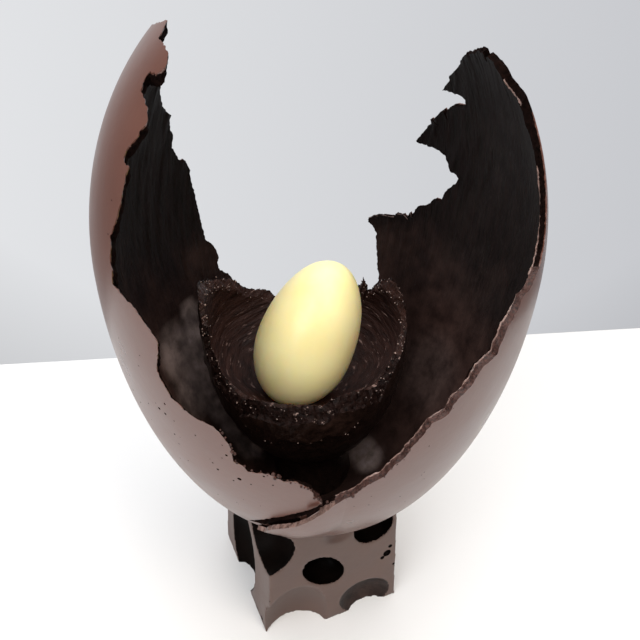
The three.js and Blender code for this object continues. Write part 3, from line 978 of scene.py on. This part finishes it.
def noise_field(
        nodes, links, scale, detail, rough, stretch=(1, 1, 1), turn=(0, 0, 0), by_grain=False):
    """Noise over the piece's own coordinates, or along its grain, stretched and turned."""
    if by_grain:
        coords = nodes.new("ShaderNodeAttribute")
        coords.attribute_name = "grain"
        source = coords.outputs["Vector"]
    else:
        coords = nodes.new("ShaderNodeTexCoord")
        source = coords.outputs["Object"]
    mapping = nodes.new("ShaderNodeMapping")
    mapping.inputs["Scale"].default_value = stretch
    mapping.inputs["Rotation"].default_value = [math.radians(angle) for angle in turn]
    field = nodes.new("ShaderNodeTexNoise")
    field.inputs["Scale"].default_value = scale
    field.inputs["Detail"].default_value = detail
    field.inputs["Roughness"].default_value = rough
    links.new(source, mapping.inputs["Vector"])
    links.new(mapping.outputs["Vector"], field.inputs["Vector"])
    return field.outputs["Fac"]


def spread(nodes, links, value, low, high, start=0.3, end=0.7):
    ramp = nodes.new("ShaderNodeMapRange")
    ramp.inputs["From Min"].default_value = start
    ramp.inputs["From Max"].default_value = end
    ramp.inputs["To Min"].default_value = low
    ramp.inputs["To Max"].default_value = high
    links.new(value, ramp.inputs["Value"])
    return ramp.outputs["Result"]


def mixed(nodes, links, share, first, second):
    """Blend two tones by a share. A tone is a colour or another node's output."""
    mix = nodes.new("ShaderNodeMix")
    mix.data_type = "RGBA"
    links.new(share, mix.inputs["Factor"])
    for tone, socket in ((first, mix.inputs["A"]), (second, mix.inputs["B"])):
        if isinstance(tone, tuple):
            socket.default_value = (*tone, 1)
        else:
            links.new(tone, socket)
    return mix.outputs["Result"]


def product(nodes, links, first, second):
    step = nodes.new("ShaderNodeMath")
    step.operation = "MULTIPLY"
    links.new(first, step.inputs[0])
    links.new(second, step.inputs[1])
    return step.outputs["Value"]


def bumps(nodes, links, layers, normal=None):
    for value, depth in layers:
        bump = nodes.new("ShaderNodeBump")
        bump.inputs["Strength"].default_value = 1
        bump.inputs["Distance"].default_value = depth * MM
        links.new(value, bump.inputs["Height"])
        if normal:
            links.new(normal, bump.inputs["Normal"])
        normal = bump.outputs["Normal"]
    return normal


def chocolate(name, dark, light, mottle, roughness, relief, ior=1.5, painted_glints=None):
    """Chocolate that is mottled from dark to light, with painted glints, pale specks standing in
    for highlights, where it has them.

    mottle, relief and the painted glints give noise settings: scale, detail, roughness, stretch,
    turn and whether it follows the grain. relief adds a depth in mm, the painted glints where they
    start and end.
    """
    material, nodes, links = finish_nodes(name)
    shader = nodes["Principled BSDF"]
    fields = [(noise_field(nodes, links, *setting), depth) for setting, depth in relief]
    patches = noise_field(nodes, links, *mottle)
    tone = mixed(nodes, links, spread(nodes, links, patches, 0, 1), dark, light)
    # Painted glints: pale specks that stand in for highlights.
    if painted_glints:
        setting, start, end, pale = painted_glints
        glint_share = spread(nodes, links, noise_field(nodes, links, *setting), 0, 1, start, end)
        tone = mixed(nodes, links, glint_share, tone, pale)
    links.new(tone, shader.inputs["Base Color"])
    links.new(spread(nodes, links, patches, *roughness), shader.inputs["Roughness"])
    links.new(bumps(nodes, links, fields), shader.inputs["Normal"])
    shader.inputs["IOR"].default_value = ior
    return material


WHIRL_TURN = (6, 4, 0)

SHELL_OUTSIDE = chocolate(
    "satin_shell", (0.098, 0.037, 0.025), (0.122, 0.049, 0.034), (22, 3, 0.5), (0.27, 0.36),
    [((90, 3, 0.5), 0.12), ((900, 4, 0.6), 0.02)], 1.6)
# Near-black: partly the dark break of the chocolate, partly painted shade where it darkens the
# crack's gap, the skin and underside of the lip, and the pinholes.
BROKEN_WALL = chocolate(
    "broken_wall", (0.002, 0.0012, 0.001), (0.011, 0.005, 0.004), (500, 4, 0.6), (0.7, 0.9),
    [((700, 4, 0.6), 0.5)], 1.08)
CHIPPED_WALL = chocolate(
    "chipped_wall", (0.004, 0.002, 0.0015), (0.085, 0.036, 0.028), (900, 4, 0.7), (0.35, 0.6),
    [((650, 4, 0.7), 0.6)], 1.35)
# Painted highlight: the light line along the inner edge of the broken wall and along the crack's
# lower edge.
EDGE_HIGHLIGHT_FINISH = chocolate(
    "painted_edge_highlight", (0.05, 0.024, 0.018), (0.3, 0.19, 0.16), (600, 4, 0.6), (0.25, 0.4),
    [((700, 4, 0.6), 0.4)], 1.5)

BOWL_OUTSIDE = chocolate(
    "rough_bowl", (0.006, 0.003, 0.002), (0.03, 0.014, 0.01), (200, 4, 0.6), (0.25, 0.45),
    [((350, 5, 0.6), 0.6)], 1.42)
# The rim and the skirt's edges get pale specks as painted glints.
BOWL_RIM_FINISH = chocolate(
    "bowl_rim", (0.0025, 0.0012, 0.001), (0.016, 0.007, 0.0055), (500, 4, 0.6), (0.35, 0.6),
    [((500, 4, 0.6), 1.0)], 1.16, ((260, 4, 0.8), 0.62, 0.68, (0.33, 0.23, 0.2)))
# The crumbs' light patches are painted glints, on top of their real gloss.
CRUMB_FINISH = chocolate(
    "crumbs_with_painted_glints", (0.01, 0.005, 0.004), (0.3, 0.2, 0.17), (170, 3, 0.6), (0.1, 0.25),
    [((700, 4, 0.6), 0.3)], 1.6)
# The pale lines along the whirled strokes in the hollow are painted highlights.
BOWL_INSIDE = chocolate(
    "whirled_bowl", (0.01, 0.004, 0.003), (0.035, 0.015, 0.0115),
    (60, 4, 0.6, (1, 1, 8), WHIRL_TURN, True), (0.35, 0.5),
    [((60, 5, 0.65, (1, 1, 12), WHIRL_TURN, True), 1.2), ((300, 4, 0.6), 0.2)], 1.2,
    ((75, 5, 0.6, (1, 1, 14), WHIRL_TURN, True), 0.61, 0.67, (0.18, 0.115, 0.1)))
BLOCK_FINISH = chocolate(
    "cast_block", (0.085, 0.048, 0.038), (0.11, 0.064, 0.05), (40, 4, 0.6), (0.4, 0.55),
    [((350, 4, 0.6), 0.08), ((60, 3, 0.5), 0.25)])
# Painted shade: a near-black finish for the walls of the deep scoops and for the pits.
SCOOP_SHADE_FINISH = chocolate(
    "painted_shade_scoop", (0.0015, 0.001, 0.0008), (0.005, 0.003, 0.0024), (60, 4, 0.6), (0.35, 0.5),
    [((350, 4, 0.6), 0.1), ((60, 3, 0.5), 0.25)], 1.09)
# Painted shade: a dark brown finish for the shaded wall under the front right arch.
ARCH_SHADE_FINISH = chocolate(
    "painted_shade_arch", (0.006, 0.0035, 0.003), (0.05, 0.03, 0.025), (110, 5, 0.65), (0.35, 0.5),
    [((350, 4, 0.6), 0.2), ((90, 4, 0.6), 0.4)], 1.25)


INSIDE_LOW = [(0.018, 0.009, 0.0075), (0.06, 0.032, 0.026)]
INSIDE_HIGH = [(0.0015, 0.0008, 0.0009), (0.0095, 0.0042, 0.0042)]
# The pale tone that the painted sheen and light mixes into the inside.
INSIDE_SHEEN = (0.46, 0.35, 0.32)

# The heights in metres between which the low finish turns into the high one, and how far that
# wanders up and down.
INSIDE_CHANGE = (0.19, 0.27)
INSIDE_WANDER = 0.12
COMBED_DEPTH = 1.6
FINE_DEPTH = 0.5


def brushed_inside():
    """Near-black combed chocolate high up that turns smooth and brown towards the bottom."""
    material, nodes, links = finish_nodes("brushed_inside")
    shader = nodes["Principled BSDF"]
    coords = nodes.new("ShaderNodeTexCoord")
    parts = nodes.new("ShaderNodeSeparateXYZ")
    links.new(coords.outputs["Object"], parts.inputs["Vector"])
    wander = nodes.new("ShaderNodeMath")
    wander.operation = "MULTIPLY_ADD"
    links.new(noise_field(nodes, links, 28, 4, 0.6), wander.inputs[0])
    wander.inputs[1].default_value = INSIDE_WANDER
    links.new(parts.outputs["Z"], wander.inputs[2])
    high = spread(nodes, links, wander.outputs["Value"], 0, 1, *INSIDE_CHANGE)
    combed = noise_field(nodes, links, 480, 5, 0.68, (1, 1, 0.1), by_grain=True)
    mottle = noise_field(nodes, links, 90, 5, 0.6)
    low_tone = mixed(nodes, links, spread(nodes, links, mottle, 0, 1), *INSIDE_LOW)
    high_tone = mixed(nodes, links, spread(nodes, links, combed, 0, 1), *INSIDE_HIGH)
    tone = mixed(nodes, links, high, low_tone, high_tone)
    # Painted sheen and light: the stored share mixes a pale tone into the inside, broken up by the
    # mottle.
    mark = nodes.new("ShaderNodeAttribute")
    mark.attribute_name = "pale"
    sheen_patchiness = spread(nodes, links, mottle, 0.4, 1.1, 0.35, 0.65)
    painted_sheen = product(nodes, links, mark.outputs["Fac"], sheen_patchiness)
    links.new(mixed(nodes, links, painted_sheen, tone, INSIDE_SHEEN), shader.inputs["Base Color"])
    links.new(spread(nodes, links, combed, 0.35, 0.55), shader.inputs["Roughness"])
    relief = product(nodes, links, high, combed)
    strokes = noise_field(nodes, links, 160, 5, 0.7, (1, 1, 0.6), (20, 30, 0))
    layers = [(relief, COMBED_DEPTH), (strokes, FINE_DEPTH)]
    links.new(bumps(nodes, links, layers), shader.inputs["Normal"])
    shader.inputs["IOR"].default_value = 1.24
    return material


WHITE_TONES = [(0.85, 0.74, 0.38), (0.88, 0.78, 0.43)]
WHITE_GLOW = (1, 0.8, 0.45)
WHITE_GLOW_REACH = 24


def white_chocolate():
    material, nodes, links = finish_nodes("white_chocolate")
    shader = nodes["Principled BSDF"]
    patches = noise_field(nodes, links, 45, 3, 0.5)
    tone = mixed(nodes, links, spread(nodes, links, patches, 0, 1), *WHITE_TONES)
    links.new(tone, shader.inputs["Base Color"])
    links.new(spread(nodes, links, patches, 0.32, 0.42), shader.inputs["Roughness"])
    fine = noise_field(nodes, links, 260, 3, 0.5)
    links.new(bumps(nodes, links, [(fine, 0.05)]), shader.inputs["Normal"])
    shader.inputs["Subsurface Weight"].default_value = 1.0
    shader.inputs["Subsurface Radius"].default_value = WHITE_GLOW
    shader.inputs["Subsurface Scale"].default_value = WHITE_GLOW_REACH * MM
    shader.inputs["IOR"].default_value = 1.46
    return material


# ---- the pieces ------------------------------------------------------------------------------

shell_piece = big_shell([SHELL_OUTSIDE, brushed_inside(), BROKEN_WALL, EDGE_HIGHLIGHT_FINISH, CHIPPED_WALL])
dress(shell_piece, "outer_shell")
bowl_piece = inner_bowl([BOWL_OUTSIDE, BOWL_INSIDE, BOWL_RIM_FINISH, CRUMB_FINISH])
dress(bowl_piece, "inner_bowl")
white_piece = white_egg([white_chocolate()])
dress(white_piece, "white_egg")
block_piece = cast_block([BLOCK_FINISH, SCOOP_SHADE_FINISH, ARCH_SHADE_FINISH])
dress(block_piece, "base_block")

# ---- the studio ------------------------------------------------------------------------------

# The table's size, its right and rear edges, and its turn in degrees.
TABLE_WIDTH = 2380
TABLE_LENGTH = 3000
TABLE_RIGHT = 380
TABLE_REAR = 231
TABLE_TURN = 7.5
TABLE_COLOUR = (0.83, 0.83, 0.83)

WALL_LEFT = (0.78, 0.79, 0.81)
WALL_RIGHT = (0.56, 0.57, 0.6)
WALL_SIDES = (0.3, 0.3, 0.31)
ROOM_BEHIND = (0.2, 0.2, 0.205)

# Where the wall's tones change, along the direction from the object.
WALL_STARTS = (0.45, 0.8)
WALL_CHANGES = (-0.5, 0.5)
SIDES_START = (0.55, 0.85)

# Lights: place and aim in metres, side of the square, power and colour.
LIGHTS = {
    "overhead": ((0.0, 0.1, 1.7), (0, 0, 0.1), 1.9, 29, (1.0, 1.0, 1.0)),
    "key": ((-0.6, -0.9, 1.05), (0, 0, 0.2), 0.9, 12.5, (1.0, 1.0, 1.0)),
    "fill": ((0.6, -0.7, 1.25), (0, 0, 0.2), 0.6, 8.5, (1.0, 0.9, 0.78)),
}


def plain_material(name, colour, roughness):
    material, nodes, links = finish_nodes(name)
    shader = nodes["Principled BSDF"]
    shader.inputs["Base Color"].default_value = (*colour, 1)
    shader.inputs["Roughness"].default_value = roughness
    return material


def floor_sheet():
    bm = bmesh.new()
    bmesh.ops.create_grid(bm, x_segments=1, y_segments=1, size=0.5)
    bmesh.ops.scale(bm, vec=(TABLE_WIDTH, TABLE_LENGTH, 1), verts=bm.verts)
    middle = (TABLE_RIGHT - TABLE_WIDTH / 2, TABLE_REAR - TABLE_LENGTH / 2, 0)
    bmesh.ops.translate(bm, vec=middle, verts=bm.verts)
    turn = Matrix.Rotation(math.radians(TABLE_TURN), 3, "Z")
    bmesh.ops.rotate(bm, cent=(0, TABLE_REAR, 0), matrix=turn, verts=bm.verts)
    piece = make_piece("table_top", bm, [plain_material("pale_table", TABLE_COLOUR, 0.5)])
    finish_mesh(piece)


def soft_light(name, place, aim, side, power, colour):
    lamp = bpy.data.lights.new(name, "AREA")
    lamp.color = colour
    lamp.shape = "SQUARE"
    lamp.size = side
    lamp.energy = power
    holder = bpy.data.objects.new(name, lamp)
    holder.location = place
    holder.rotation_euler = (Vector(aim) - Vector(place)).to_track_quat("-Z", "Y").to_euler()
    bpy.context.scene.collection.objects.link(holder)


def studio():
    floor_sheet()
    world = bpy.data.worlds.new("studio")
    world.use_nodes = True
    nodes, links = world.node_tree.nodes, world.node_tree.links
    coords = nodes.new("ShaderNodeTexCoord")
    parts = nodes.new("ShaderNodeSeparateXYZ")
    links.new(coords.outputs["Generated"], parts.inputs["Vector"])
    depth = spread(nodes, links, parts.outputs["Y"], 0, 1, *WALL_STARTS)
    across = spread(nodes, links, parts.outputs["X"], 0, 1, *WALL_CHANGES)
    wall = mixed(nodes, links, across, WALL_LEFT, WALL_RIGHT)
    sideways = nodes.new("ShaderNodeMath")
    sideways.operation = "ABSOLUTE"
    links.new(parts.outputs["X"], sideways.inputs[0])
    far_side = spread(nodes, links, sideways.outputs["Value"], 0, 1, *SIDES_START)
    wall = mixed(nodes, links, far_side, wall, WALL_SIDES)
    room = mixed(nodes, links, depth, ROOM_BEHIND, wall)
    links.new(room, nodes["Background"].inputs["Color"])
    bpy.context.scene.world = world
    for name, settings in LIGHTS.items():
        soft_light(name, *settings)


CAMERA_PLACE = Vector((1.54, -294.8, 394.4))
CAMERA_TILT = 55.3
CAMERA_ROLL = 1.25
CAMERA_LENS = 39.375
CAMERA_SENSOR = 36


def camera():
    lens = bpy.data.cameras.new("camera")
    lens.lens = CAMERA_LENS
    lens.sensor_width = CAMERA_SENSOR
    holder = bpy.data.objects.new("camera", lens)
    tilt = Matrix.Rotation(math.radians(CAMERA_TILT), 4, "X")
    roll = Matrix.Rotation(math.radians(CAMERA_ROLL), 4, "Z")
    holder.matrix_world = Matrix.Translation(CAMERA_PLACE * MM) @ tilt @ roll
    bpy.context.scene.collection.objects.link(holder)
    bpy.context.scene.camera = holder


studio()
camera()
bpy.context.scene.view_settings.view_transform = "Standard"
